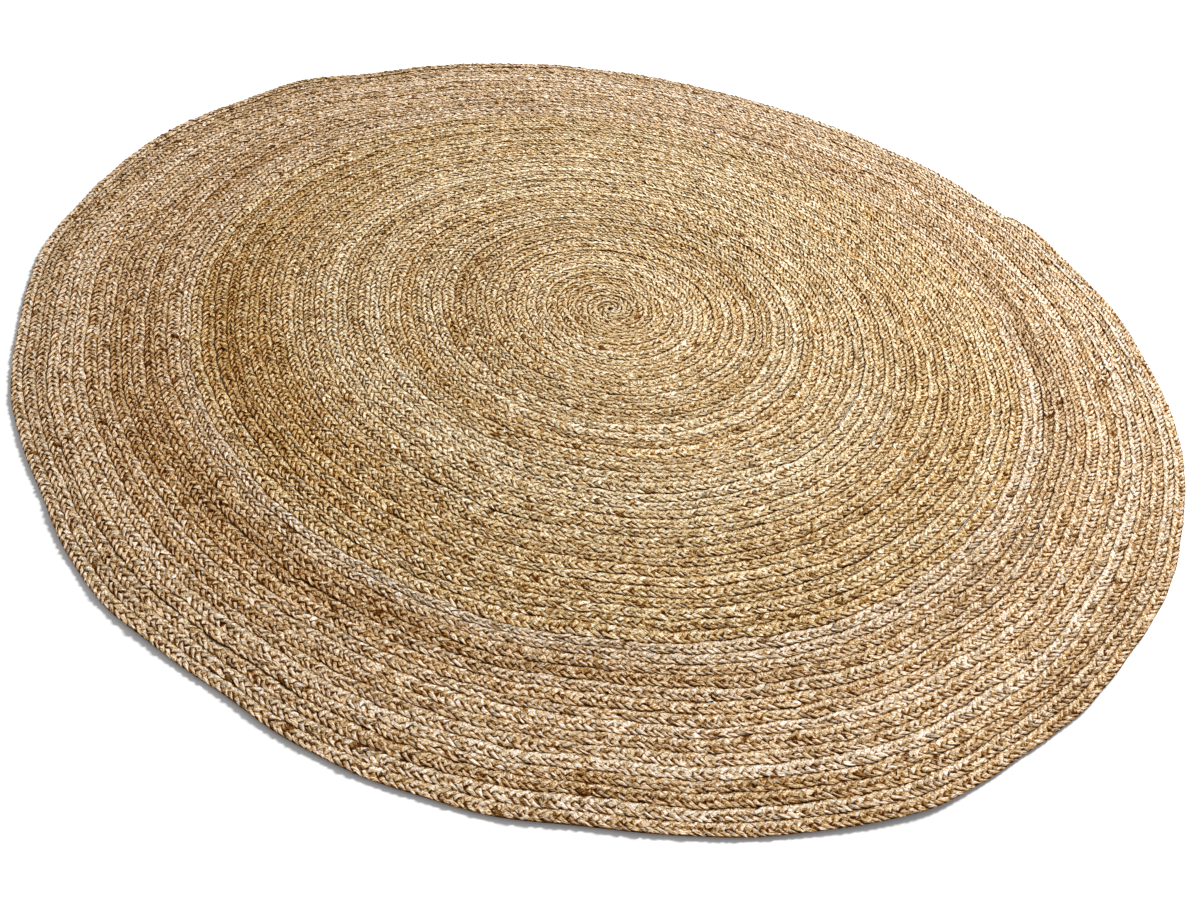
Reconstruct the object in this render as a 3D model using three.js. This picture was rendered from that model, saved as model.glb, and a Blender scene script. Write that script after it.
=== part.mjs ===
// A round floor rug, made of one long flat three-strand jute braid. The braid is wound
// into a spiral from the middle outwards and each turn is sewn edge to edge to the last,
// so the rug is one sheet: a spiral rib on top, and plain underneath where it lies.
// Millimetres, +Z up. The rug lies on z = 0, with the origin at the middle of its reach.

import * as THREE from 'three';

// Driving dimensions
const rugRadius = 1200;
const turnCount = 54;
const braidThickness = 9;
const grooveHeight = 4.6;
const edgeTuck = 5;
const braidEndAngle = 36;
const outlineFollow = 2;
const rimSegments = 70;
const leastSegments = 10;

// How far the outline stands from an even spiral, by direction. Degrees run
// anticlockwise from +X, and reach is a share of the even radius.
const outlineRows = [
  { angle: -180, reach: 0.988 },
  { angle: -160, reach: 0.972 },
  { angle: -142, reach: 0.968 },
  { angle: -125, reach: 0.978 },
  { angle: -115, reach: 0.976 },
  { angle: -100, reach: 0.992 },
  { angle: -86, reach: 0.991 },
  { angle: -63, reach: 1.010 },
  { angle: -48, reach: 0.997 },
  { angle: -36, reach: 0.992 },
  { angle: -22, reach: 0.993 },
  { angle: -10, reach: 1.001 },
  { angle: 2, reach: 0.999 },
  { angle: 26, reach: 0.998 },
  { angle: 42, reach: 0.994 },
  { angle: 50, reach: 0.983 },
  { angle: 60, reach: 0.982 },
  { angle: 74, reach: 0.969 },
  { angle: 105, reach: 0.973 },
  { angle: 130, reach: 0.974 },
  { angle: 144, reach: 0.997 },
  { angle: 158, reach: 1.002 },
  { angle: 172, reach: 0.993 },
];

// Soft waves that lift the rug a little off the floor: the direction and height of the
// crest, half the wave's width in degrees, and the share of the radius it starts at.
const waveRows = [
  { angle: 14, height: 7, halfWidth: 9, start: 0.55 },
  { angle: 32, height: 8, halfWidth: 9, start: 0.5 },
  { angle: 48, height: 6, halfWidth: 8, start: 0.6 },
  { angle: 139, height: 8, halfWidth: 10, start: 0.5 },
  { angle: -63, height: 4, halfWidth: 11, start: 0.7 },
];

// Where the underside has a ring of points, as shares of the radius, from the edge in
const undersideRings = [0.95, 0.86, 0.74, 0.62, 0.5];

const braidWidth = rugRadius / turnCount;
const ribRise = braidThickness - grooveHeight;

function smoothStep(share) {
  const t = THREE.MathUtils.clamp(share, 0, 1);
  return t * t * (3 - 2 * t);
}

function wrapDegrees(degrees) {
  return THREE.MathUtils.euclideanModulo(degrees + 180, 360) - 180;
}

function outlineAt(degrees) {
  const angle = wrapDegrees(degrees);
  const after = outlineRows.findIndex((row) => row.angle > angle);
  const next = after < 0 ? outlineRows[0] : outlineRows[after];
  const last = after < 0 ? outlineRows.at(-1) : outlineRows[after - 1];
  const span = THREE.MathUtils.euclideanModulo(next.angle - last.angle, 360);
  const share = (angle - last.angle) / span;
  return THREE.MathUtils.lerp(last.reach, next.reach, smoothStep(share));
}

function waveHeight(degrees, share) {
  let height = 0;
  for (const wave of waveRows) {
    const across = Math.abs(wrapDegrees(degrees - wave.angle)) / wave.halfWidth;
    const along = (share - wave.start) / (1 - wave.start);
    height += wave.height * smoothStep(1 - across) * smoothStep(along);
  }
  return height;
}

// A point on the rug: turns counts round from the braid's two ends, which lie in the
// same direction, and widths counts braid widths out from the middle.
function placeAt(turns, widths, height) {
  const degrees = braidEndAngle + 360 * (turns % 1);
  const radians = THREE.MathUtils.degToRad(degrees);
  const share = widths / turnCount;
  const stretch = 1 + (outlineAt(degrees) - 1) * share ** outlineFollow;
  const radius = braidWidth * widths * stretch;
  const x = radius * Math.cos(radians);
  const y = radius * Math.sin(radians);
  return new THREE.Vector3(x, y, height + waveHeight(degrees, share));
}

// The braid keeps its width until its last step, where it runs out against the turn inside
function widthAt(turns) {
  return Math.min(1, (turnCount - turns) * rimSegments);
}

// The groove inside a turn. At the middle the first turn starts level with its rib.
function groovePoint(turns) {
  const start = Math.max(0, 1 - turns * leastSegments / 2);
  return placeAt(turns, turns, grooveHeight + ribRise * start);
}

function ribPoint(turns) {
  const width = widthAt(turns);
  return placeAt(turns, turns + width / 2, grooveHeight + ribRise * width);
}

function edgePoint(turns) {
  return placeAt(turns, turns + widthAt(turns), grooveHeight);
}

function tuckPoint(turns) {
  return placeAt(turns, turns + widthAt(turns) - edgeTuck / braidWidth, 0);
}

const points = [];
const pointNumbers = new Map();
const faces = [];

function addPoint(point) {
  const key = point.toArray().map((value) => Math.round(value * 1000)).join();
  if (!pointNumbers.has(key)) {
    pointNumbers.set(key, points.length);
    points.push(point);
  }
  return pointNumbers.get(key);
}

function addFace(a, b, c) {
  if (a !== b && b !== c && c !== a) {
    faces.push(a, b, c);
  }
}

// One turn's row of points, anticlockwise, with both its ends
function addRow(turn, makePoint) {
  const wanted = rimSegments * Math.sqrt(Math.min(1, (turn + 1) / turnCount));
  const count = Math.max(leastSegments, Math.round(wanted));
  const row = [];
  for (let step = 0; step <= count; step += 1) {
    row.push({ at: addPoint(makePoint(turn + step / count)), share: step / count });
  }
  return row;
}

// Faces between two rows that run side by side. They look up when the first row is the
// inner one, and down when it is the outer one.
function joinRows(first, second) {
  let i = 0;
  let j = 0;
  while (i < first.length - 1 || j < second.length - 1) {
    const nextFirst = first[i + 1]?.share ?? Infinity;
    const nextSecond = second[j + 1]?.share ?? Infinity;
    if (nextFirst < nextSecond) {
      addFace(first[i].at, second[j].at, first[i + 1].at);
      i += 1;
    } else {
      addFace(first[i].at, second[j].at, second[j + 1].at);
      j += 1;
    }
  }
}

// The spiral rib and the grooves on both its sides. The rug's edge is the last groove.
function addTop(edge) {
  const grooves = [];
  for (let turn = 0; turn < turnCount; turn += 1) {
    grooves.push(addRow(turn, groovePoint));
  }
  grooves.push(edge);
  for (let turn = 0; turn < turnCount; turn += 1) {
    const rib = addRow(turn, ribPoint);
    joinRows(grooves[turn], rib);
    joinRows(rib, grooves[turn + 1]);
  }
}

// The fan inside the first turn, and the end of the braid that stands in it
function addMiddle() {
  const groove = addRow(0, groovePoint);
  const middle = groove[0].at;
  for (let step = 1; step < groove.length - 1; step += 1) {
    addFace(middle, groove[step].at, groove[step + 1].at);
  }
  addFace(middle, groove.at(-1).at, addPoint(ribPoint(0)));
}

// The rounded edge, and the underside that follows the waves
function addUnderside(edge) {
  const rows = [edge, addRow(turnCount - 1, tuckPoint)];
  for (const share of undersideRings) {
    rows.push(addRow(turnCount - 1, (turns) => placeAt(turns, turnCount * share, 0)));
  }
  for (let row = 1; row < rows.length; row += 1) {
    joinRows(rows[row - 1], rows[row]);
  }
  const middle = addPoint(placeAt(0, 0, 0));
  const innermost = rows.at(-1);
  for (let step = 0; step < innermost.length - 1; step += 1) {
    addFace(middle, innermost[step + 1].at, innermost[step].at);
  }
}

function makeRugGeometry() {
  const edge = addRow(turnCount - 1, edgePoint);
  addTop(edge);
  addMiddle();
  addUnderside(edge);
  const geometry = new THREE.BufferGeometry().setFromPoints(points);
  geometry.setIndex(faces);
  geometry.computeBoundingBox();
  const middle = geometry.boundingBox.getCenter(new THREE.Vector3());
  geometry.translate(-middle.x, -middle.y, 0);
  geometry.computeVertexNormals();
  return geometry;
}

const jute = new THREE.MeshStandardMaterial({ color: 0xbe9b69, roughness: 0.92, metalness: 0 });

const rug = new THREE.Mesh(makeRugGeometry(), jute);
rug.name = 'rug';

const roundRug = new THREE.Group();
roundRug.add(rug);

export default roundRug;
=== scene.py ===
import math
import bmesh
import bpy
import numpy as np
from mathutils import Matrix, Vector


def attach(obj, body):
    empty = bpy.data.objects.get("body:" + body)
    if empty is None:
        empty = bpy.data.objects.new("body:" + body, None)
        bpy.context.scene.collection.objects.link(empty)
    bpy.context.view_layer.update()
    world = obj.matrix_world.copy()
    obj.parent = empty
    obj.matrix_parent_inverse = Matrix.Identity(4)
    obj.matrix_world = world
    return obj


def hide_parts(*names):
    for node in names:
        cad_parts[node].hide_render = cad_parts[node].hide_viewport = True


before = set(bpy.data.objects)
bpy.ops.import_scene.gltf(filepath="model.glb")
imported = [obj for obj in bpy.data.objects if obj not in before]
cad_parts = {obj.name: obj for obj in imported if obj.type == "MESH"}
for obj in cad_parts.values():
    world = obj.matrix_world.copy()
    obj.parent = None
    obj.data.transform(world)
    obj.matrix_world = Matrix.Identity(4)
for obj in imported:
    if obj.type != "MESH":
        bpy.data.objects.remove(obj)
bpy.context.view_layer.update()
print("frame loaded:", sorted(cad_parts))

# The rug: one flat three-strand braid coiled from the middle, in metres
rug = {
    "radius": 1.2,
    "turns": 54,
    "thickness": 0.009,
    "grooveHeight": 0.0046,
    "endAngle": 36,          # both ends of the braid lie in this direction
    "outlineFollow": 2,      # how late, on their way out, the turns take on the outline
    "rimSteps": 70,          # the braid's end runs out over one of these parts of a turn
    "looseWidth": 0.0235,    # of the braid, before it is sewn and pressed
    "runs": 10,              # lengths of braid, each a piece of its own
    "measures": 360,         # places in a turn where the braid's length is measured
    "seed": 12,
}
braidWidth = rug["radius"] / rug["turns"]
halfWidth = braidWidth / 2
ribRise = rug["thickness"] - rug["grooveHeight"]

# How far the outline stands from an even spiral, by direction, as a share of the radius
outlineRows = [
    {"angle": -180, "reach": 0.988},
    {"angle": -160, "reach": 0.972},
    {"angle": -142, "reach": 0.968},
    {"angle": -125, "reach": 0.978},
    {"angle": -115, "reach": 0.976},
    {"angle": -100, "reach": 0.992},
    {"angle": -86, "reach": 0.991},
    {"angle": -63, "reach": 1.010},
    {"angle": -48, "reach": 0.997},
    {"angle": -36, "reach": 0.992},
    {"angle": -22, "reach": 0.993},
    {"angle": -10, "reach": 1.001},
    {"angle": 2, "reach": 0.999},
    {"angle": 26, "reach": 0.998},
    {"angle": 42, "reach": 0.994},
    {"angle": 50, "reach": 0.983},
    {"angle": 60, "reach": 0.982},
    {"angle": 74, "reach": 0.969},
    {"angle": 105, "reach": 0.973},
    {"angle": 130, "reach": 0.974},
    {"angle": 144, "reach": 0.997},
    {"angle": 158, "reach": 1.002},
    {"angle": 172, "reach": 0.993},
]

# Soft waves that lift the rug a little: heights in metres, half widths in degrees
waveRows = [
    {"angle": 14, "height": 0.007, "halfWidth": 9, "start": 0.55},
    {"angle": 32, "height": 0.008, "halfWidth": 9, "start": 0.5},
    {"angle": 48, "height": 0.006, "halfWidth": 8, "start": 0.6},
    {"angle": 139, "height": 0.008, "halfWidth": 10, "start": 0.5},
    {"angle": -63, "height": 0.004, "halfWidth": 11, "start": 0.7},
]

# Fine puckers that run outwards: where they lie, their height and their spacing in degrees
puckerRows = [
    {"angle": 26, "arc": 40, "radius": 0.64, "band": 0.26, "height": 0.003, "spacing": 8.5},
    {"angle": 78, "arc": 22, "radius": 0.62, "band": 0.18, "height": 0.0017, "spacing": 7.0},
    {"angle": -160, "arc": 16, "radius": 0.68, "band": 0.15, "height": 0.002, "spacing": 6.5},
]

puckerBend = {"amount": 0.5, "rate": 9}  # how they stray from straight on their way out

# Ripples in the plan of the coil, which the hand that wound it left, in metres. They are
# at their full size from wobbleReach outwards.
wobbleReach = 0.3
wobbleRows = [
    {"length": 0.46, "amount": 0.0022, "heading": 20},
    {"length": 0.31, "amount": 0.0018, "heading": 100},
    {"length": 0.17, "amount": 0.0009, "heading": 62},
    {"length": 0.11, "amount": 0.0006, "heading": 150},
]


def smoothStep(share):
    t = np.clip(share, 0, 1)
    return t * t * (3 - 2 * t)


def wrapDegrees(degrees):
    return (degrees + 180) % 360 - 180


def outlineAt(degrees):
    angles = np.array([row["angle"] for row in outlineRows] + [outlineRows[0]["angle"] + 360])
    reaches = np.array([row["reach"] for row in outlineRows] + [outlineRows[0]["reach"]])
    angle = wrapDegrees(degrees)
    after = np.searchsorted(angles, angle, side="right")
    share = (angle - angles[after - 1]) / (angles[after] - angles[after - 1])
    return reaches[after - 1] + (reaches[after] - reaches[after - 1]) * smoothStep(share)


def waveHeight(degrees, share):
    height = 0
    for wave in waveRows:
        across = np.abs(wrapDegrees(degrees - wave["angle"])) / wave["halfWidth"]
        along = (share - wave["start"]) / (1 - wave["start"])
        height = height + wave["height"] * smoothStep(1 - across) * smoothStep(along)
    return height


# How much a patch counts: 1 in its middle, and almost nothing well out of its arc and band
def patchShare(patch, degrees, share):
    angle = wrapDegrees(degrees - patch["angle"]) / patch["arc"]
    across = (share - patch["radius"]) / patch["band"]
    return np.exp(-angle ** 2 - across ** 2)


def puckerHeight(degrees, share):
    height = 0
    for row in puckerRows:
        stray = puckerBend["amount"] * np.sin(puckerBend["rate"] * share)
        swing = 1 + np.sin(2 * math.pi * (degrees / row["spacing"] + stray))
        height = height + row["height"] / 2 * swing * patchShare(row, degrees, share)
    return height


# A point on the rug: turns counts round from the braid's two ends, which lie in the same
# direction, and widths counts braid widths out from the middle
def placeAt(turns, widths, height):
    degrees = rug["endAngle"] + 360 * (turns % 1)
    radians = np.radians(degrees)
    share = widths / rug["turns"]
    stretch = 1 + (outlineAt(degrees) - 1) * share ** rug["outlineFollow"]
    radius = braidWidth * widths * stretch
    x = radius * np.cos(radians)
    y = radius * np.sin(radians)
    return np.stack([x, y, height + waveHeight(degrees, share)], axis=-1)


# How many widths out the braid's inner edge is
def insideAt(turns):
    return np.maximum(turns, 0)


# The braid grows to its full width over a turn in the middle, and runs out at the rim
def widthAt(turns):
    return np.clip(np.minimum((rug["turns"] - turns) * rug["rimSteps"], turns + 1), 0, 1)


def findCentre():
    steps = rug["turns"] - 1 + np.arange(rug["rimSteps"]) / rug["rimSteps"]
    edge = placeAt(steps, steps + widthAt(steps), rug["grooveHeight"])
    middle = (edge.min(axis=0) + edge.max(axis=0)) / 2
    return np.array([-middle[0], -middle[1], 0])


coilCentre = findCentre()  # where the coil starts, in the frame of the solids


def wobble(points):
    moved = points.copy()
    for row in wobbleRows:
        heading = math.radians(row["heading"])
        across = np.array([math.cos(heading), math.sin(heading), 0])
        along = np.array([-math.sin(heading), math.cos(heading), 0])
        swing = np.sin(2 * math.pi * (points @ along) / row["length"] + row["heading"])
        fade = smoothStep(np.hypot(points[..., 0], points[..., 1]) / wobbleReach)
        moved += (row["amount"] * swing * fade)[..., None] * across
    return moved


# How far along the braid each turn is, so that its stitches keep one length
turnGrid = np.linspace(-1, rug["turns"], (rug["turns"] + 1) * rug["measures"] + 1)
middleLine = placeAt(turnGrid, insideAt(turnGrid) + widthAt(turnGrid) / 2, 0)
gridSteps = np.linalg.norm(np.diff(middleLine, axis=0), axis=1)
gridLengths = np.concatenate([[0], np.cumsum(gridSteps)])
braidLength = gridLengths[-1]
print(f"braid length {braidLength:.1f} m")

# Every stitch of a side is one strand's pass from the middle of the braid to its edge.
# It has four points along each of four rows, and heights are shares of the rib's rise.
braid = {
    "stitch": 0.013,         # along the braid, from one stitch of a side to the next
    "shares": (0, 0.3, 0.68, 1),      # the rows, across half the braid from its middle
    "leads": (0, 0.22, 0.62, 1.06),   # how far a strand has run along there, in stitches
    "alongs": (0, 0.0044, 0.0109, 0.0174),  # the same, along the strand in metres
    "crests": (0, 0.84, 0.94, 0.8),   # height of a strand's back
    "valleys": (0, 0.2, 0.2, 0.34),   # height between two strands
    "crowding": 0.38,        # how far that is filled between the inner half's strands
    "innerShare": 0.54,      # how much of the painted shade in the gaps shows between them
    "middleRise": 0.2,       # height of the middle row, where the strands cross
    "middleSwing": 0.2,      # how far it rises and falls
    "zigzag": 0.2,           # how far it swings across, in half widths
    "shoulder": 0.8,         # height of a strand's flanks, as a share of its back's
    "shoulderSpread": 1.22,  # how much further out they stand than evenly
    "edgeDrop": 0.06,        # how much lower they are at the edge
    "nick": 0.03,            # how far the edge draws in between two strands
    "flankNick": 0.25,       # the same at their flanks, as a share of it
    "gape": 0.06,            # how far the sewing opens where it is loose
    "gapeStart": 0.6,        # how loose it has to be for that
    "gapeLimit": 2,          # how much looser it can get
    "jitter": 0.11,          # how far each point strays
    "crestSpread": 0.2,      # thick and thin stitches
    "thickSpread": 0.14,     # thick and thin places in the yarn
    "stretch": 0.005,        # stitches drawn longer here and shorter there
    "squeeze": 0.075,        # turns wider here and narrower there, in braid widths
    "squeezeQuick": 0.5,     # how much of it changes quickly, as a share of the slow part
    "unevenness": 0.06,      # the same, from stitch to stitch
    "evenTurns": (3, 2),     # turns over which both grow at the middle and fade at the rim
    "lift": 0.0004,          # lengths that lie a little higher or lower
    "flattened": 0.45,       # how much of its relief the middle of the rug has lost
    "flatReach": 0.35,       # how far out that goes, as a share of the radius
    "underRow": 0.7,         # where the flat underside starts, in half widths
    "underDepth": 0.0052,    # along the strand, round the edge to the underside
    "underWidth": 0.016,     # along the strand, across the underside
    "smoothAngle": 62,       # in degrees: sharper bends than this are shaded as edges
}

# Smooth random changes along the braid: metres between their knots, and their seeds
changes = {
    "lift": (0.7, 41),
    "stretch": (0.085, 43),
    "squeeze": (0.33, 44),
    "squeezeQuick": (0.12, 45),
    "unevenness": (0.018, 46),
    "looseness": (0.5, 47),
    "thickness": (0.07, 50),
    "braidSlow": (5.2, 1),
    "braidQuick": (0.9, 2),
    "braidWarm": (3.1, 3),
    "strandQuick": (0.35, 20),
}

# Sudden changes, where a new yarn was spun into a strand: metres apart, and seeds
newYarns = {"tone": (2.4, 10), "warm": (1.7, 30)}
yarnSpread = (0.3, 1.7)      # the shortest and longest of them, as shares of that

stitchLength = braid["stitch"]
stitchCount = int(braidLength / stitchLength) - 2
random = np.random.default_rng(rug["seed"])
noiseSize = 4 * stitchCount + 16
centreNoise = random.normal(0, 1, (noiseSize, 3))
sideNoise = random.normal(0, 1, (2, noiseSize, 3, 3))
crestNoise = random.normal(0, 1, (2, stitchCount + 8))


# Strands or sides that go through the same change each have a number, and so a seed, of
# their own
def slowNoise(length, change, number=0):
    gap, seed = changes[change]
    knots = np.random.default_rng(seed + number).normal(0, 1, int(braidLength / gap) + 4)
    place = length / gap
    low = np.floor(place).astype(int)
    share = smoothStep(place - low)
    return knots[low] * (1 - share) + knots[low + 1] * share


def stepNoise(length, change, number):
    gap, seed = newYarns[change]
    source = np.random.default_rng(seed + number)
    enough = int(2.2 * braidLength / gap)
    ends = np.cumsum(source.uniform(yarnSpread[0] * gap, yarnSpread[1] * gap, enough))
    return source.normal(0, 1, len(ends) + 1)[np.searchsorted(ends, length)]


# How far the line between two turns strays, in braid widths
def edgeShift(turns):
    length = np.interp(np.clip(turns, 0, rug["turns"]), turnGrid, gridLengths)
    grow, fade = braid["evenTurns"]
    amount = smoothStep(turns / grow) * smoothStep((rug["turns"] - turns) / fade)
    quick = braid["squeezeQuick"] * slowNoise(length, "squeezeQuick")
    stray = braid["squeeze"] * (slowNoise(length, "squeeze") + quick)
    return amount * (stray + braid["unevenness"] * slowNoise(length, "unevenness"))


# The middle of the rug is pressed flatter
def reliefAt(along):
    share = np.interp(along, gridLengths, turnGrid) / rug["turns"]
    return 1 - braid["flattened"] * (1 - smoothStep(share / braid["flatReach"]))


# From a place on the braid, with across from -1 to 1, to a place on the rug
def onBraid(along, across, height):
    along = along + braid["stretch"] * slowNoise(along, "stretch")
    turns = np.interp(along, gridLengths, turnGrid)
    part = 0.5 + across / 2
    widths = insideAt(turns) + widthAt(turns) * part
    widths = widths + (1 - part) * edgeShift(turns) + part * edgeShift(turns + 1)
    lift = braid["lift"] * slowNoise(along, "lift") * smoothStep(height / rug["grooveHeight"])
    lift = lift + puckerHeight(rug["endAngle"] + 360 * (turns % 1), widths / rug["turns"])
    return wobble(placeAt(turns, widths, height + lift)) + coilCentre


# The row of points that both halves of the braid share
def centreRow(first, count):
    index = np.arange(4 * count + 3)
    noise = centreNoise[4 * first + index] * braid["jitter"]
    stitches = first - 0.5 + index / 4
    across = -braid["zigzag"] * np.cos(2 * math.pi * stitches)
    swing = braid["middleSwing"] * np.cos(4 * math.pi * stitches)
    rise = braid["middleRise"] + swing + noise[:, 2]
    along = (stitches + noise[:, 0]) * stitchLength
    rise = 0.5 + (rise - 0.5) * reliefAt(along)
    return along, across + noise[:, 1], rug["grooveHeight"] + ribRise * rise


# The other rows of one half: side is 0 for the outer half of the braid, 1 for the inner
def sideRows(side, first, count):
    index = np.arange(4 * count + 1)
    part = index % 4         # 0 in a valley, 2 on a strand's back, 1 and 3 on its flanks
    stitch = first + index // 4
    offset = part / 4 - 0.5
    middle = stitch + 0.5 * side
    sign = 1 - 2 * side
    centreAcross = -braid["zigzag"] * np.cos(2 * math.pi * (middle + offset))
    alongs, acrosses, heights = [], [], []
    for row in (1, 2, 3):
        noise = sideNoise[side, 4 * first + index, row - 1] * braid["jitter"]
        spread = braid["shoulderSpread"] if row < 3 else 1
        shift = np.where(np.abs(offset) == 0.25, offset * spread, offset)
        along = (middle + shift + braid["leads"][row] + noise[:, 0]) * stitchLength
        share = braid["shares"][row]
        across = centreAcross * (1 - share) + sign * share
        if row == 3:
            nick = braid["nick"] * np.select([part == 0, part == 2], [1, 0], braid["flankNick"])
            loose = slowNoise(np.maximum(along, 0), "looseness", side) - braid["gapeStart"]
            gape = braid["gape"] * np.clip(loose, 0, braid["gapeLimit"])
            across = sign * (1 - nick - gape)
        else:
            across = across + noise[:, 1]
        thick = slowNoise(np.maximum(middle * stitchLength, 0), "thickness", side)
        thickness = 1 + braid["crestSpread"] * crestNoise[side, stitch]
        thickness = thickness + braid["thickSpread"] * thick
        crest = braid["crests"][row] * thickness
        valley = np.full(len(index), braid["valleys"][row] + side * braid["crowding"])
        flank = crest * braid["shoulder"] - (braid["edgeDrop"] if row == 3 else 0)
        rise = np.select([part == 0, part == 2], [valley, crest], flank)
        rise = 0.5 + (rise + noise[:, 2] - 0.5) * reliefAt(along)
        alongs.append(along)
        acrosses.append(across)
        heights.append(rug["grooveHeight"] + ribRise * rise)
    return alongs, acrosses, heights


# Points and faces of one run of braid, with a place on the strand for every corner
class Shape:
    def __init__(self):
        self.alongs, self.acrosses, self.heights, self.unrolled = [], [], [], []
        self.count = 0
        self.faces = {3: [], 4: []}

    def addPoints(self, along, across, height, unrolled):
        first = self.count
        self.alongs.append(along)
        self.acrosses.append(across)
        self.heights.append(np.broadcast_to(height, along.shape))
        self.unrolled.append(np.broadcast_to(unrolled, along.shape))
        self.count += len(along)
        return np.arange(first, self.count)

    def addFaces(self, corners, strandAlong, strandAcross, stitch, side, flip):
        corners = np.stack(corners, axis=1)
        along = np.stack([np.broadcast_to(a, len(corners)) for a in strandAlong], axis=1)
        across = np.stack([np.broadcast_to(a, len(corners)) for a in strandAcross], axis=1)
        if flip:
            corners, along, across = corners[:, ::-1], along[:, ::-1], across[:, ::-1]
        stitches = np.broadcast_to(stitch, len(corners))
        sides = np.full(len(corners), side)
        self.faces[corners.shape[1]].append((corners, along, across, stitches, sides))


# The flat layout of a run, in half widths: the height of one row of it, and where in the
# row the braid's middle and the two halves of its underside lie
layout = {
    "rowHeight": 5.0,
    "middle": 0.38,          # as a share of the row's height
    "underEdge": 1.45,
    "underside": 2.9,
    "spareStitches": 2.5,    # left free at the end of a row
}


# One half of the braid, down to its underside. marks are the stitches where the
# underside has its points.
def addHalf(shape, side, centre, marks, first, count):
    sign = 1 - 2 * side
    flip = side == 1
    alongs, acrosses, heights = sideRows(side, first, count)
    grid = [centre[2 * side:2 * side + 4 * count + 1]]
    for row in range(3):
        grid.append(shape.addPoints(alongs[row], acrosses[row], heights[row], acrosses[row]))

    step = np.arange(4 * count)
    hand = (1, -braid["innerShare"])[side]  # the yarn is twisted one way on both halves
    offset = hand * (step % 4 / 4 - 0.5)
    nextOffset = offset + 0.25 * hand
    stitch = first + step // 4
    for row in range(3):
        inner, outer = grid[row], grid[row + 1]
        near, far = braid["alongs"][row], braid["alongs"][row + 1]
        shape.addFaces(
            [inner[:-1], outer[:-1], outer[1:], inner[1:]],
            [near, far, far, near],
            [offset, offset, nextOffset, nextOffset],
            stitch, side, flip,
        )

    # the rounded side, down to the underside
    edge = grid[3]
    rim = braid["alongs"][3]
    deep = rim + braid["underDepth"]
    lower = shape.addPoints(
        (first + marks + 0.5 * side - 0.5 + braid["leads"][3]) * stitchLength,
        np.full(len(marks), sign * braid["underRow"]), 0.0, sign * layout["underEdge"],
    )
    block = np.searchsorted(marks, step // 4, side="right") - 1
    late = step >= 2 * (marks[block] + marks[block + 1])
    shape.addFaces(
        [edge[step], lower[block + late], edge[step + 1]],
        [rim, deep, rim],
        [offset, (offset + nextOffset) / 2, nextOffset],
        stitch, side, flip,
    )
    shape.addFaces(
        [edge[2 * (marks[:-1] + marks[1:])], lower[:-1], lower[1:]],
        [rim, deep, deep],
        [0, -0.5, 0.5],
        first + marks[:-1], side, flip,
    )
    return lower


# One run of the braid. every says how many stitches share one step of its underside.
def makeRun(first, count, every):
    shape = Shape()
    centre = shape.addPoints(*centreRow(first, count), 0)
    marks = np.append(np.arange(0, count, every), count)
    outer = addHalf(shape, 0, centre, marks, first, count)
    inner = addHalf(shape, 1, centre, marks, first, count)
    deep = braid["alongs"][3] + braid["underDepth"]
    far = deep + braid["underWidth"]
    shape.addFaces(
        [outer[:-1], inner[:-1], inner[1:], outer[1:]],
        [deep, far, far, deep],
        [-0.5, -0.5, 0.5, 0.5],
        first + marks[:-1], 2, False,
    )
    return shape


# The tone runs from 0 for the darkest yarn to 1 for the palest, and the warmth from 0 for
# a dull yarn to 1 for a golden one
tones = {
    "base": 0.49,
    "braidSlow": 0.03,       # changes over about a turn
    "braidQuick": 0.035,     # and over a small part of one
    "strandStep": 0.028,     # a new yarn spun into one strand
    "strandQuick": 0.02,
    "stitch": 0.0748,        # from one stitch to the next
    "warmBase": 0.62,
    "warmSpread": 0.09,
    "calmReach": 0.3,        # out to here the yarn is more alike, as a share of the radius
    "strandMiddle": 0.4,     # how far along, in stitches, the middle of a strand's pass is
    "seed": 5,
}

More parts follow.
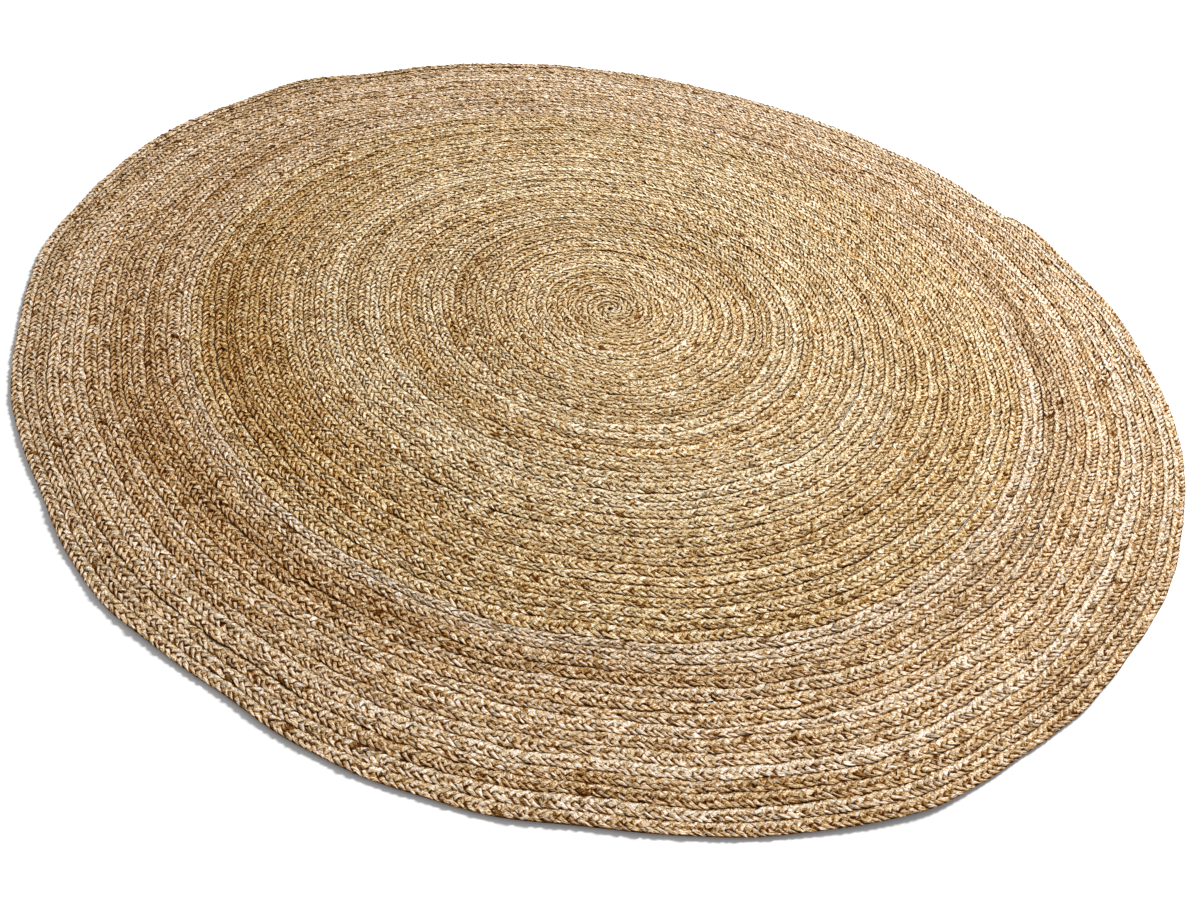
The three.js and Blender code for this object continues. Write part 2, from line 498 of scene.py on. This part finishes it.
# Patches of tone on the rug: where they lie, in degrees and shares of the radius, how far
# they spread, and what they add. An arc of 400 goes all round.
patchRows = [
    {"angle": -145, "arc": 32, "radius": 0.64, "band": 0.065, "tone": -0.10, "warm": 0.26},
    {"angle": -140, "arc": 22, "radius": 0.585, "band": 0.014, "tone": -0.08, "warm": 0.1},
    {"angle": -162, "arc": 15, "radius": 0.68, "band": 0.016, "tone": -0.07, "warm": 0.12},
    {"angle": -132, "arc": 30, "radius": 0.83, "band": 0.05, "tone": -0.09, "warm": 0.18},
    {"angle": -165, "arc": 32, "radius": 0.76, "band": 0.1, "tone": -0.05, "warm": 0.14},
    {"angle": -60, "arc": 60, "radius": 0.607, "band": 0.012, "tone": -0.08, "warm": 0.16},
    {"angle": -152, "arc": 13, "radius": 0.292, "band": 0.014, "tone": -0.15, "warm": 0.25},
    {"angle": -100, "arc": 50, "radius": 0.295, "band": 0.012, "tone": -0.07, "warm": 0.12},
    {"angle": -30, "arc": 30, "radius": 0.28, "band": 0.012, "tone": -0.08, "warm": 0.12},
    {"angle": 35, "arc": 30, "radius": 0.272, "band": 0.012, "tone": -0.08, "warm": 0.12},
    {"angle": 66, "arc": 7, "radius": 0.255, "band": 0.018, "tone": -0.09, "warm": 0.06},
    {"angle": 168, "arc": 18, "radius": 0.275, "band": 0.016, "tone": -0.09, "warm": 0.16},
    {"angle": -45, "arc": 32, "radius": 0.722, "band": 0.01, "tone": -0.07, "warm": 0.0},
    {"angle": 3, "arc": 10, "radius": 0.485, "band": 0.012, "tone": -0.08, "warm": 0.12},
    {"angle": 18, "arc": 18, "radius": 0.48, "band": 0.012, "tone": -0.02, "warm": 0.12},
    {"angle": -20, "arc": 16, "radius": 0.655, "band": 0.035, "tone": -0.03, "warm": 0.12},
    {"angle": 20, "arc": 28, "radius": 0.61, "band": 0.06, "tone": -0.01, "warm": 0.08},
    {"angle": -5, "arc": 5, "radius": 0.7, "band": 0.02, "tone": -0.06, "warm": 0.2},
    {"angle": 165, "arc": 24, "radius": 0.6, "band": 0.09, "tone": -0.04, "warm": 0.08},
    {"angle": 140, "arc": 28, "radius": 0.665, "band": 0.013, "tone": -0.07, "warm": 0.06},
    {"angle": 157, "arc": 9, "radius": 0.8, "band": 0.03, "tone": -0.08, "warm": 0.0},
    {"angle": 115, "arc": 6, "radius": 0.59, "band": 0.015, "tone": -0.06, "warm": 0.0},
    {"angle": 166, "arc": 14, "radius": 0.47, "band": 0.02, "tone": -0.06, "warm": 0.03},
    {"angle": -60, "arc": 50, "radius": 0.54, "band": 0.04, "tone": 0.02, "warm": -0.14},
    {"angle": -55, "arc": 46, "radius": 0.44, "band": 0.06, "tone": 0.0, "warm": -0.1},
    {"angle": 67, "arc": 10, "radius": 0.55, "band": 0.025, "tone": 0.07, "warm": -0.08},
    {"angle": 85, "arc": 8, "radius": 0.7, "band": 0.02, "tone": 0.05, "warm": 0.0},
    {"angle": -45, "arc": 50, "radius": 0.775, "band": 0.025, "tone": 0.02, "warm": -0.14},
    {"angle": 125, "arc": 30, "radius": 0.78, "band": 0.05, "tone": 0.0, "warm": -0.12},
    {"angle": 15, "arc": 26, "radius": 0.33, "band": 0.02, "tone": 0.05, "warm": 0.0},
    {"angle": -30, "arc": 42, "radius": 0.25, "band": 0.01, "tone": 0.04, "warm": -0.12},
    {"angle": -75, "arc": 30, "radius": 0.22, "band": 0.04, "tone": 0.01, "warm": -0.1},
    {"angle": 112, "arc": 9, "radius": 0.095, "band": 0.01, "tone": -0.08, "warm": 0.15},
    {"angle": -72, "arc": 2.5, "radius": 0.942, "band": 0.007, "tone": -0.3, "warm": 0.0},
    {"angle": -86, "arc": 2, "radius": 0.948, "band": 0.007, "tone": -0.25, "warm": 0.0},
    {"angle": 0, "arc": 400, "radius": 0.0, "band": 0.055, "tone": -0.04, "warm": -0.3},
    # painted light: a pale spot at the very middle lifts the dark spot of shade where the coil
    # starts
    {"angle": 0, "arc": 400, "radius": 0.0, "band": 0.008, "tone": 0.2, "warm": 0.0},
    {"angle": 0, "arc": 400, "radius": 0.15, "band": 0.12, "tone": -0.035, "warm": 0.0},
]

# The last turns are of a paler, rosier lot of yarn
lastLot = {"start": 0.728, "blend": 0.012, "tone": 0.005, "warm": -0.13}

# Bits of bark left in the yarn: what share of the stitches has one, up to the last lot
# and in it, and how dark it is
bark = {"inner": 0.0015, "outer": 0.007, "tone": -0.5}


# For every face: tone, warmth, a number of its own for each stitch, and the last lot
def stitchTones(stitch, side):
    middle = (stitch + 0.5 * (side % 2) + tones["strandMiddle"]) * stitchLength
    turns = np.interp(middle, gridLengths, turnGrid)
    degrees = rug["endAngle"] + 360 * (turns % 1)
    share = (turns + 0.5) / rug["turns"]
    strand = np.where(side % 2 == 0, stitch, stitch - 1) % 3
    mixed = smoothStep(share / tones["calmReach"])
    tone = tones["base"] + mixed * tones["braidSlow"] * slowNoise(middle, "braidSlow")
    tone = tone + mixed * tones["braidQuick"] * slowNoise(middle, "braidQuick")
    warm = tones["warmBase"] + mixed * tones["warmSpread"] * slowNoise(middle, "braidWarm")
    for number in range(3):
        own = strand == number
        step = stepNoise(middle, "tone", number)
        quick = slowNoise(middle, "strandQuick", number)
        tone = tone + own * (tones["strandStep"] * step + tones["strandQuick"] * quick)
        warm = warm + own * tones["warmSpread"] * stepNoise(middle, "warm", number)
    for patch in patchRows:
        amount = patchShare(patch, degrees, share)
        tone = tone + patch["tone"] * amount
        warm = warm + patch["warm"] * amount
    rosy = smoothStep((share - lastLot["start"]) / lastLot["blend"])
    tone = tone + lastLot["tone"] * rosy
    warm = warm + lastLot["warm"] * rosy
    own = np.random.default_rng(tones["seed"]).random((4, stitchCount + 8))
    number = own[side, stitch]
    hasBark = number < bark["inner"] + (bark["outer"] - bark["inner"]) * rosy
    tone = tone + bark["tone"] * hasBark
    tone = tone + tones["stitch"] * (own[3 - side % 2, stitch] - 0.5)
    return tone, warm, number, rosy


# All faces in one list: their corners, with each corner's place on its strand, and each
# face's stitch, side and number of corners
def joinFaces(shape):
    corners, strands, stitches, sides, sizes = [], [], [], [], []
    for size in (3, 4):
        for at, along, across, stitch, side in shape.faces[size]:
            corners.append(at.reshape(-1))
            strands.append(np.stack([along, across], axis=2).reshape(-1, 2))
            stitches.append(stitch)
            sides.append(side)
            sizes.append(np.full(len(at), size))
    return [np.concatenate(part) for part in (corners, strands, stitches, sides, sizes)]


# The whole run laid flat in rows, so that every part of it has a place of its own
def flatPlaces(along, unrolled, stitch, side, first, perRow):
    row = (stitch - first) // perRow
    rowLength = (perRow + layout["spareStitches"]) * stitchLength
    rowHeight = layout["rowHeight"] * halfWidth
    rows = math.ceil((stitch.max() - first + 1) / perRow)
    innerUnderside = (side == 2) & (unrolled < 0)
    across = np.where(innerUnderside, layout["underside"], unrolled)
    x = along - (first + row * perRow - 1) * stitchLength
    y = (row + layout["middle"]) * rowHeight + across * halfWidth
    return np.stack([x / rowLength, y / (rows * rowHeight)], axis=1)


def fill(values, key, numbers):
    values.foreach_set(key, numbers.astype(np.float32).reshape(-1))


def makeMesh(name, shape, first, perRow):
    along = np.concatenate(shape.alongs)
    across = np.concatenate(shape.acrosses)
    height = np.concatenate(shape.heights)
    unrolled = np.concatenate(shape.unrolled)
    points = onBraid(np.clip(along, 0, braidLength), across, height)
    corners, strands, stitches, sides, sizes = joinFaces(shape)

    mesh = bpy.data.meshes.new(name)
    mesh.vertices.add(len(points))
    fill(mesh.vertices, "co", points)
    mesh.loops.add(len(corners))
    mesh.loops.foreach_set("vertex_index", corners.astype(np.int32))
    mesh.polygons.add(len(sizes))
    starts = np.concatenate([[0], np.cumsum(sizes)[:-1]])
    mesh.polygons.foreach_set("loop_start", starts.astype(np.int32))
    mesh.update(calc_edges=True)

    strandMap = mesh.uv_layers.new(name="strand")
    fill(strandMap.uv, "vector", strands)
    flatMap = mesh.uv_layers.new(name="OFBake")
    stitch, side = np.repeat(stitches, sizes), np.repeat(sides, sizes)
    flat = flatPlaces(along[corners], unrolled[corners], stitch, side, first, perRow)
    fill(flatMap.uv, "vector", flat)
    yarn = mesh.attributes.new("yarn", "FLOAT_COLOR", "CORNER")
    faceYarn = np.stack(stitchTones(stitches, sides), axis=1)
    fill(yarn.data, "color", np.repeat(faceYarn, sizes, axis=0))
    return mesh


# A cap on both ends of a run, so that it is a closed solid
def closeEnds(mesh):
    working = bmesh.new()
    working.from_mesh(mesh)
    rims = [edge for edge in working.edges if edge.is_boundary]
    bmesh.ops.holes_fill(working, edges=rims, sides=0)
    bmesh.ops.recalc_face_normals(working, faces=working.faces)
    working.to_mesh(mesh)
    working.free()


def shadeByAngle(piece, degrees):
    bpy.ops.object.select_all(action="DESELECT")
    bpy.context.view_layer.objects.active = piece
    piece.select_set(True)
    bpy.ops.object.shade_smooth_by_angle(angle=math.radians(degrees))


def makeBraid(material):
    perRun = stitchCount // rug["runs"]
    pieces = []
    for number in range(rug["runs"]):
        last = number == rug["runs"] - 1
        first = number * perRun + 1
        count = stitchCount - first - 1 if last else perRun
        name = f"braid_run_{number + 1:02d}"
        rows = round(math.sqrt(count * stitchLength / (layout["rowHeight"] * halfWidth)))
        every = 1 if last else 2  # the rug's edge is the finest
        mesh = makeMesh(name, makeRun(first, count, every), first, math.ceil(count / rows))
        closeEnds(mesh)
        mesh.materials.append(material)
        piece = bpy.data.objects.new(name, mesh)
        bpy.context.scene.collection.objects.link(piece)
        shadeByAngle(piece, braid["smoothAngle"])
        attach(piece, "root")
        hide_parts("rug")
        pieces.append(piece)
    return pieces


def srgb(red, green, blue):
    def linear(value):
        value = value / 255
        return value / 12.92 if value <= 0.04045 else ((value + 0.055) / 1.055) ** 2.4
    return (linear(red), linear(green), linear(blue), 1)


def addNode(tree, kind, x, y, **values):
    node = tree.nodes.new(kind)
    node.location = (x, y)
    for key, value in values.items():
        setattr(node, key, value)
    return node


def mathNode(tree, operation, x, y, first, second=None, third=None, clamp=False):
    node = addNode(tree, "ShaderNodeMath", x, y, operation=operation, use_clamp=clamp)
    for place, value in enumerate((first, second, third)):
        if value is None:
            continue
        if isinstance(value, (int, float)):
            node.inputs[place].default_value = value
        else:
            tree.links.new(value, node.inputs[place])
    return node.outputs[0]


def rampNode(tree, x, y, factor, stops):
    node = addNode(tree, "ShaderNodeValToRGB", x, y)
    ramp = node.color_ramp
    while len(ramp.elements) < len(stops):
        ramp.elements.new(0.5)
    for element, (place, colour) in zip(ramp.elements, stops):
        element.position = place
        element.color = srgb(*colour)
    tree.links.new(factor, node.inputs[0])
    return node.outputs[0]


# The yarn: colours by tone, from the gaps with their painted shade to the brightest fibres, for
# a golden yarn and a dull one, and how much its fibres, the painted shade in its gaps and the
# painted highlight on its strands' backs add to the tone
jute = {
    "golden": [
        (0.0, (66, 26, 1)), (0.18, (116, 63, 11)), (0.36, (159, 105, 38)),
        (0.52, (192, 150, 82)), (0.68, (217, 187, 129)), (0.84, (241, 224, 184)),
        (1.0, (254, 252, 242)),
    ],
    "dull": [
        (0.0, (60, 27, 3)), (0.18, (108, 66, 22)), (0.36, (150, 115, 63)),
        (0.52, (182, 158, 113)), (0.68, (209, 191, 153)), (0.84, (235, 225, 201)),
        (1.0, (254, 252, 245)),
    ],
    "bundles": (250, 5.5, 2),  # per metre along, per strand width across, and detail
    "hairs": (480, 11, 3),
    "fibreRough": 0.6,
    "numberSpread": 97,      # how far apart in the noise two stitches are
    "bundleTone": 1.9,
    "hairTone": 1.84,
    "twist": (-46, 34),      # how far the yarn's twist slants its fibres, and how unevenly
    "endShare": 0.62,        # how far the painted shade darkens a stitch to its ends, next to its sides
    "ragged": 0.5,           # how far the bundles fray the edge of the painted shade in the gaps
    "paintedShadeStart": 0.14,        # from here to the next the gaps darken with painted shade, 1 being their middle
    "paintedShadeEnd": 1.04,
    "paintedGapShade": 0.48,
    "paintedHighlight": 0.2,        # painted highlight: how much paler a strand's back is, as if light caught it
    "highlightReach": 0.55,
    "rosyTint": (1.0, 0.955, 1.0, 1),  # of the last lot
    "glint": (1.0, 0.8, 0.5, 1),
    "specular": 0.1,
    "roughLow": 0.36,        # of the palest fibres
    "roughHigh": 0.95,       # of the gaps
    "bump": 0.9,
    "bumpDepth": 0.0011,
    "bundleBump": 0.8,
    "hairBump": 0.4,
}


def makeJute():
    material = bpy.data.materials.new("juteBraid")
    material.use_nodes = True
    tree = material.node_tree
    tree.nodes.clear()
    yarn = addNode(tree, "ShaderNodeAttribute", -1600, 200, attribute_name="yarn")
    parts = addNode(tree, "ShaderNodeSeparateColor", -1400, 200)
    tree.links.new(yarn.outputs["Color"], parts.inputs[0])
    tone, warm, number = parts.outputs[0], parts.outputs[1], parts.outputs[2]
    strand = addNode(tree, "ShaderNodeUVMap", -1600, -200, uv_map="strand")
    place = addNode(tree, "ShaderNodeSeparateXYZ", -1400, -200)
    tree.links.new(strand.outputs[0], place.inputs[0])
    along, across = place.outputs[0], place.outputs[1]
    twist = mathNode(
        tree, "MULTIPLY_ADD", -1200, -400,
        mathNode(tree, "SUBTRACT", -1300, -450, number, 0.5), jute["twist"][1], jute["twist"][0],
    )
    slanted = mathNode(tree, "MULTIPLY_ADD", -1100, -400, along, twist, across)

    def fibres(x, y, settings):
        alongRate, acrossRate, detail = settings
        vector = addNode(tree, "ShaderNodeCombineXYZ", x, y)
        rates = ((along, alongRate), (slanted, acrossRate), (number, jute["numberSpread"]))
        for axis, (value, rate) in enumerate(rates):
            scaled = mathNode(tree, "MULTIPLY", x - 200, y - 150 * axis, value, rate)
            tree.links.new(scaled, vector.inputs[axis])
        noise = addNode(tree, "ShaderNodeTexNoise", x + 200, y)
        noise.inputs["Scale"].default_value = 1
        noise.inputs["Detail"].default_value = detail
        noise.inputs["Roughness"].default_value = jute["fibreRough"]
        tree.links.new(vector.outputs[0], noise.inputs["Vector"])
        return noise.outputs[0]

    bundles = fibres(-1000, -200, jute["bundles"])
    hairs = fibres(-1000, -700, jute["hairs"])
    bundleTone = mathNode(
        tree, "MULTIPLY", -500, -100,
        mathNode(tree, "SUBTRACT", -650, -100, bundles, 0.5), jute["bundleTone"],
    )
    hairTone = mathNode(
        tree, "MULTIPLY", -500, -600,
        mathNode(tree, "SUBTRACT", -650, -600, hairs, 0.5), jute["hairTone"],
    )

    # how far from the middle of a stitch's strand: 0 on its back, 1 and more in the gaps; the
    # painted shade and the painted highlight are laid out by it
    acrossShare = mathNode(tree, "MULTIPLY", -1200, -1000, across, 2.0)
    alongShare = mathNode(
        tree, "MULTIPLY_ADD", -1200, -1200, along, 2 / braid["alongs"][3], -1.0
    )
    away = mathNode(
        tree, "ADD", -900, -1000,
        mathNode(tree, "MULTIPLY", -1050, -1000, acrossShare, acrossShare),
        mathNode(
            tree, "MULTIPLY", -1000, -1200,
            mathNode(tree, "MULTIPLY", -1100, -1200, alongShare, alongShare), jute["endShare"],
        ),
    )
    ragged = mathNode(
        tree, "SUBTRACT", -700, -1000, away,
        mathNode(tree, "MULTIPLY", -800, -1150, bundleTone, jute["ragged"]),
    )
    # painted shade: the gaps between strands are darkened, as if shade fell in them
    gap = addNode(tree, "ShaderNodeMapRange", -500, -1000, interpolation_type="SMOOTHSTEP")
    gap.inputs["From Min"].default_value = jute["paintedShadeStart"]
    gap.inputs["From Max"].default_value = jute["paintedShadeEnd"]
    tree.links.new(ragged, gap.inputs["Value"])
    # painted highlight: the middle of each strand's back is made paler, as if lit
    crest = mathNode(
        tree, "MULTIPLY", -500, -1250,
        mathNode(tree, "SUBTRACT", -600, -1250, jute["highlightReach"], away),
        jute["paintedHighlight"] / jute["highlightReach"],
    )
    bundled = mathNode(tree, "ADD", -500, 300, tone, bundleTone)
    lit = mathNode(
        tree, "ADD", -300, 100, mathNode(tree, "ADD", -450, 200, bundled, crest), hairTone
    )
    # the tone, less the painted shade in the gaps
    shade = mathNode(
        tree, "MULTIPLY_ADD", -200, 100, gap.outputs[0], -jute["paintedGapShade"], lit, clamp=True
    )
    golden = rampNode(tree, -100, 400, shade, jute["golden"])
    dull = rampNode(tree, -100, 100, shade, jute["dull"])
    colour = addNode(tree, "ShaderNodeMix", 200, 300, data_type="RGBA")
    tree.links.new(mathNode(tree, "ADD", 0, 600, warm, 0.0, clamp=True), colour.inputs[0])
    tree.links.new(dull, colour.inputs[6])
    tree.links.new(golden, colour.inputs[7])
    rosy = addNode(tree, "ShaderNodeMix", 300, 500, data_type="RGBA", blend_type="MULTIPLY")
    rosy.inputs[7].default_value = jute["rosyTint"]
    tree.links.new(yarn.outputs["Alpha"], rosy.inputs[0])
    tree.links.new(colour.outputs[2], rosy.inputs[6])

    rough = addNode(tree, "ShaderNodeMapRange", 200, -200)
    rough.inputs["To Min"].default_value = jute["roughHigh"]
    rough.inputs["To Max"].default_value = jute["roughLow"]
    tree.links.new(shade, rough.inputs["Value"])
    height = mathNode(
        tree, "ADD", 0, -500,
        mathNode(tree, "MULTIPLY", -150, -500, bundles, jute["bundleBump"]),
        mathNode(tree, "MULTIPLY", -150, -650, hairs, jute["hairBump"]),
    )
    bump = addNode(tree, "ShaderNodeBump", 400, -400)
    bump.inputs["Strength"].default_value = jute["bump"]
    bump.inputs["Distance"].default_value = jute["bumpDepth"]
    tree.links.new(height, bump.inputs["Height"])

    surface = addNode(tree, "ShaderNodeBsdfPrincipled", 700, 200)
    surface.inputs["Specular IOR Level"].default_value = jute["specular"]
    surface.inputs["Specular Tint"].default_value = jute["glint"]
    tree.links.new(rosy.outputs[2], surface.inputs["Base Color"])
    tree.links.new(rough.outputs[0], surface.inputs["Roughness"])
    tree.links.new(bump.outputs[0], surface.inputs["Normal"])
    output = addNode(tree, "ShaderNodeOutputMaterial", 1000, 200)
    tree.links.new(surface.outputs[0], output.inputs[0])
    return material


# The camera: how far it stands from the middle of the coil and how high in degrees, how
# it is turned there, and its lens and sensor in millimetres
view = {
    "distance": 2.0161 * rug["radius"],
    "elevation": 35.966,
    "yaw": -0.560,
    "pitch": -7.151,
    "roll": 9.424,
    "lens": 33.208,
    "sensor": 36,
}


def makeCamera():
    data = bpy.data.cameras.new("camera")
    data.sensor_width = view["sensor"]
    data.lens = view["lens"]
    camera = bpy.data.objects.new("camera", data)
    elevation = math.radians(view["elevation"])
    away = Vector((0, -math.cos(elevation), math.sin(elevation)))
    up = Vector((0, math.sin(elevation), math.cos(elevation)))
    level = Matrix((Vector((1, 0, 0)), up, away)).transposed()
    turn = Matrix.Rotation(math.radians(view["yaw"]), 3, "Y")
    tilt = Matrix.Rotation(math.radians(view["pitch"]), 3, "X")
    roll = Matrix.Rotation(math.radians(view["roll"]), 3, "Z")
    place = Vector(coilCentre) + away * view["distance"]
    camera.matrix_world = Matrix.Translation(place) @ (level @ turn @ tilt @ roll).to_4x4()
    bpy.context.scene.collection.objects.link(camera)
    bpy.context.scene.camera = camera


# A plain pale floor, soft light from all round, and one lamp
studio = {
    "floorSize": 40,
    "floorColour": (0.96, 0.96, 0.96, 1),
    "floorRough": 0.9,
    "worldStrength": 0.44,
    "keyPower": 505,
    "keySize": 1.7,
    "keyPlace": (2.95, 2.7, 4.75),  # above, behind the rug and to its right
}


def makeStudio():
    bpy.ops.object.select_all(action="DESELECT")
    bpy.ops.mesh.primitive_plane_add(size=studio["floorSize"], location=(0, 0, 0))
    floor = bpy.context.object
    floor.name = "studio_floor"
    material = bpy.data.materials.new("floorPaint")
    material.use_nodes = True
    surface = material.node_tree.nodes["Principled BSDF"]
    surface.inputs["Base Color"].default_value = studio["floorColour"]
    surface.inputs["Roughness"].default_value = studio["floorRough"]
    floor.data.materials.append(material)
    world = bpy.data.worlds.new("studio")
    world.use_nodes = True
    world.node_tree.nodes["Background"].inputs[0].default_value = (1, 1, 1, 1)
    world.node_tree.nodes["Background"].inputs[1].default_value = studio["worldStrength"]
    bpy.context.scene.world = world
    data = bpy.data.lights.new("key", "AREA")
    data.energy = studio["keyPower"]
    data.size = studio["keySize"]
    key = bpy.data.objects.new("key", data)
    key.location = studio["keyPlace"]
    key.rotation_euler = Vector(studio["keyPlace"]).to_track_quat("Z", "Y").to_euler()
    bpy.context.scene.collection.objects.link(key)
    bpy.context.scene.view_settings.view_transform = "Standard"


makeCamera()
makeStudio()
print("camera and studio made")
runs = makeBraid(makeJute())
print("braid made:", len(runs), "runs")
